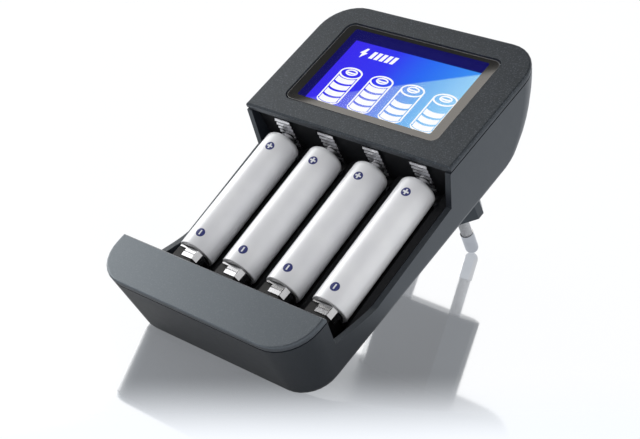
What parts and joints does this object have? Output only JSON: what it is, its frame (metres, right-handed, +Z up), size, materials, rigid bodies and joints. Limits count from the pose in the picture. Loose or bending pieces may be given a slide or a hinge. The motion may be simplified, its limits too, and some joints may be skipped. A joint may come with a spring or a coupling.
{
  "type": "aa battery charger",
  "caption": "Plug-in charger with sloped bays for slim cells, sprung sliding contacts behind the lip, a backlit display in the head and a flat plug block with round pins.",
  "frame": {"origin": "on the floor, under the middle of the bounding box, with the charger lying on its back", "axes": "+X to the right across the bays, +Y level from the lip towards the head, +Z up"},
  "size_m": [0.0728, 0.1072, 0.0692],
  "materials": {
    "housing": "fine satin charcoal",
    "cover": "fine satin charcoal",
    "tray": "fine satin charcoal",
    "lens": "clear polished plastic",
    "display": "lit blue display",
    "light_guide": "white diffuser",
    "elastomer": "soft striped elastomer",
    "board": "solder mask",
    "winding": "amber tape over ferrite",
    "can": "shrink sleeve",
    "nickel": "bright nickel plate",
    "sleeve": "plain grey plastic",
    "lead": "soft insulation",
    "screw": "zinc plated steel",
    "slider": "smooth black plastic",
    "cell_wrap": "pearl white sleeve"
  },
  "bodies": {
    "charger": {"rear_housing": "housing", "front_cover": "cover", "battery_tray": "tray", "display_lens": "lens", "lcd_panel": "display", "backlight": "light_guide", "contact_rubbers": "elastomer", "display_board": "board", "main_board": "board", "transformer": "winding", "filter_capacitor": "can", "positive_contact_1": "nickel", "positive_contact_2": "nickel", "positive_contact_3": "nickel", "positive_contact_4": "nickel", "slider_spring_1": "nickel", "slider_spring_2": "nickel", "slider_spring_3": "nickel", "slider_spring_4": "nickel", "cell_1": "cell_wrap", "cell_2": "cell_wrap", "cell_3": "cell_wrap", "cell_4": "cell_wrap", "plug_block": "housing", "plug_pin_left": "nickel", "plug_pin_right": "nickel", "pin_sleeve_left": "sleeve", "pin_sleeve_right": "sleeve", "mains_lead_left": "lead", "mains_lead_right": "lead", "housing_screws": "screw"},
    "carriage_1": {"slider_1": "slider", "negative_contact_1": "nickel"},
    "carriage_2": {"slider_2": "slider", "negative_contact_2": "nickel"},
    "carriage_3": {"slider_3": "slider", "negative_contact_3": "nickel"},
    "carriage_4": {"slider_4": "slider", "negative_contact_4": "nickel"}
  },
  "joints": [
    {"name": "carriage_1_slide", "type": "slide", "parent": "charger", "child": "carriage_1", "axis": [0, -0.8875, -0.4607], "range_m": [0, 0.0062], "stiffness_N_per_m": 300, "springref_m": -0.004, "deforming": ["slider_spring_1"]},
    {"name": "carriage_2_slide", "type": "slide", "parent": "charger", "child": "carriage_2", "axis": [0, -0.8875, -0.4607], "range_m": [0, 0.0062], "stiffness_N_per_m": 300, "springref_m": -0.004, "deforming": ["slider_spring_2"]},
    {"name": "carriage_3_slide", "type": "slide", "parent": "charger", "child": "carriage_3", "axis": [0, -0.8875, -0.4607], "range_m": [0, 0.0062], "stiffness_N_per_m": 300, "springref_m": -0.004, "deforming": ["slider_spring_3"]},
    {"name": "carriage_4_slide", "type": "slide", "parent": "charger", "child": "carriage_4", "axis": [0, -0.8875, -0.4607], "range_m": [0, 0.0062], "stiffness_N_per_m": 300, "springref_m": -0.004, "deforming": ["slider_spring_4"]}
  ]
}
